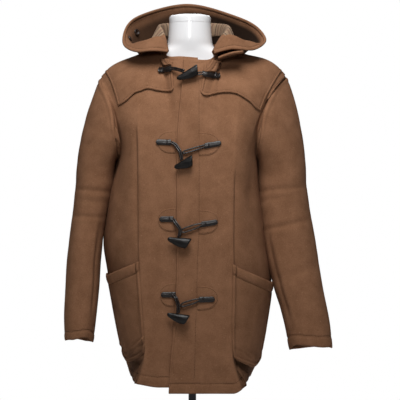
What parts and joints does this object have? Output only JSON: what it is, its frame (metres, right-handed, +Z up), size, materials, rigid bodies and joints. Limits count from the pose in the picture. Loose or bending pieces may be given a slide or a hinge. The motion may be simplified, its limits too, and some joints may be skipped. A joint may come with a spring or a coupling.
{
  "type": "duffle coat on a dress form and stand",
  "caption": "Thigh-length brown wool duffle coat with a lying hood, toggles on leather-ended cords and patch pockets, on a limbless torso form with a pole and a round foot",
  "frame": {"origin": "middle of the foot's underside, on the floor and on the pole's axis", "axes": "+Z up along the pole, -Y the coat's front, +X the wearer's left"},
  "size_m": [0.692, 0.3642, 1.371],
  "materials": {
    "melton": "thick felted wool, matt, short nap",
    "lining_cloth": "flat striped wool lining, matt",
    "horn": "polished dark horn",
    "button_horn": "polished dark brown horn",
    "dark_leather": "smooth leather, slight sheen",
    "form_shell": "smooth white shell, satin gloss",
    "dark_metal": "dark lacquered steel"
  },
  "bodies": {
    "root": {"front_left": "melton", "front_right": "melton", "back_left": "melton", "back_right": "melton", "sleeve_left_front": "melton", "sleeve_left_back": "melton", "sleeve_right_front": "melton", "sleeve_right_back": "melton", "torso_form": "form_shell", "neck_cap": "form_shell", "pole": "dark_metal", "foot": "dark_metal", "yoke_left": "melton", "yoke_right": "melton", "yoke_back": "melton", "hood": "melton", "hood_lining": "lining_cloth", "pocket_left": "melton", "pocket_right": "melton", "patch_2_left": "melton", "patch_2_right": "melton", "patch_3_left": "melton", "patch_3_right": "melton", "patch_4_left": "melton", "patch_4_right": "melton", "strap_1_right": "dark_leather", "strap_1_left": "dark_leather", "strap_2_right": "dark_leather", "strap_2_left": "dark_leather", "strap_3_right": "dark_leather", "strap_3_left": "dark_leather", "strap_4_right": "dark_leather", "strap_4_left": "dark_leather", "toggle_1": "horn", "toggle_2": "horn", "toggle_3": "horn", "toggle_4": "horn", "cord_1": "dark_leather", "cord_2": "dark_leather", "cord_3": "dark_leather", "cord_4": "dark_leather", "loop_1": "dark_leather", "loop_2": "dark_leather", "loop_3": "dark_leather", "loop_4": "dark_leather", "neck_band_left": "melton", "neck_band_right": "melton", "throat_tab": "melton", "hood_button_1": "button_horn", "hood_button_2": "button_horn"}
  },
  "joints": []
}
